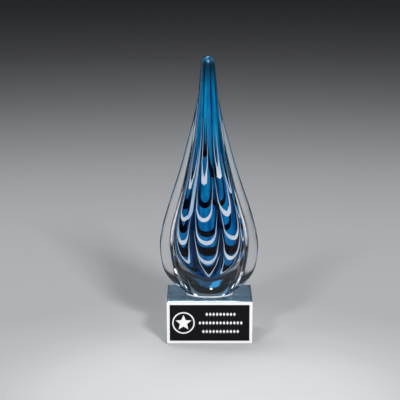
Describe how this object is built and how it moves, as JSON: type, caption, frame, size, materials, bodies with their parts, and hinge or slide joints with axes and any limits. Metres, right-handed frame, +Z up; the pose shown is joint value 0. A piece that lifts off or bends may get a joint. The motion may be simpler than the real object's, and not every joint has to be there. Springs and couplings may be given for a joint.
{
  "type": "crystal award",
  "caption": "Art-glass teardrop award: a clear flattened drop over a blue core with combed white and black threads, on a clear glass block with an engraved plate.",
  "frame": {"origin": "centre of the block's underside", "axes": "+Z up through the teardrop's tip, the nameplate faces -Y, +X to the right of the plate"},
  "size_m": [0.0952, 0.0578, 0.2748],
  "materials": {
    "clear_glass": "polished",
    "block_glass": "polished",
    "clear_adhesive": "clear",
    "blue_glass": "glossy, streaked",
    "white_glass": "glossy",
    "black_glass": "glossy",
    "silver_metal": "fine brushed",
    "black_lacquer": "satin lacquer",
    "adhesive_tape": "matte"
  },
  "bodies": {
    "root": {"base_block": "block_glass", "foot_bond": "clear_adhesive", "clear_casing": "clear_glass", "blue_core": "blue_glass", "white_thread_1": "white_glass", "white_thread_2": "white_glass", "white_thread_3": "white_glass", "white_thread_4": "white_glass", "white_thread_5": "white_glass", "black_thread_1": "black_glass", "black_thread_2": "black_glass", "black_thread_3": "black_glass", "black_thread_4": "black_glass", "black_thread_5": "black_glass", "nameplate_tape": "adhesive_tape", "nameplate_sheet": "silver_metal", "nameplate_panel": "black_lacquer"}
  },
  "joints": []
}
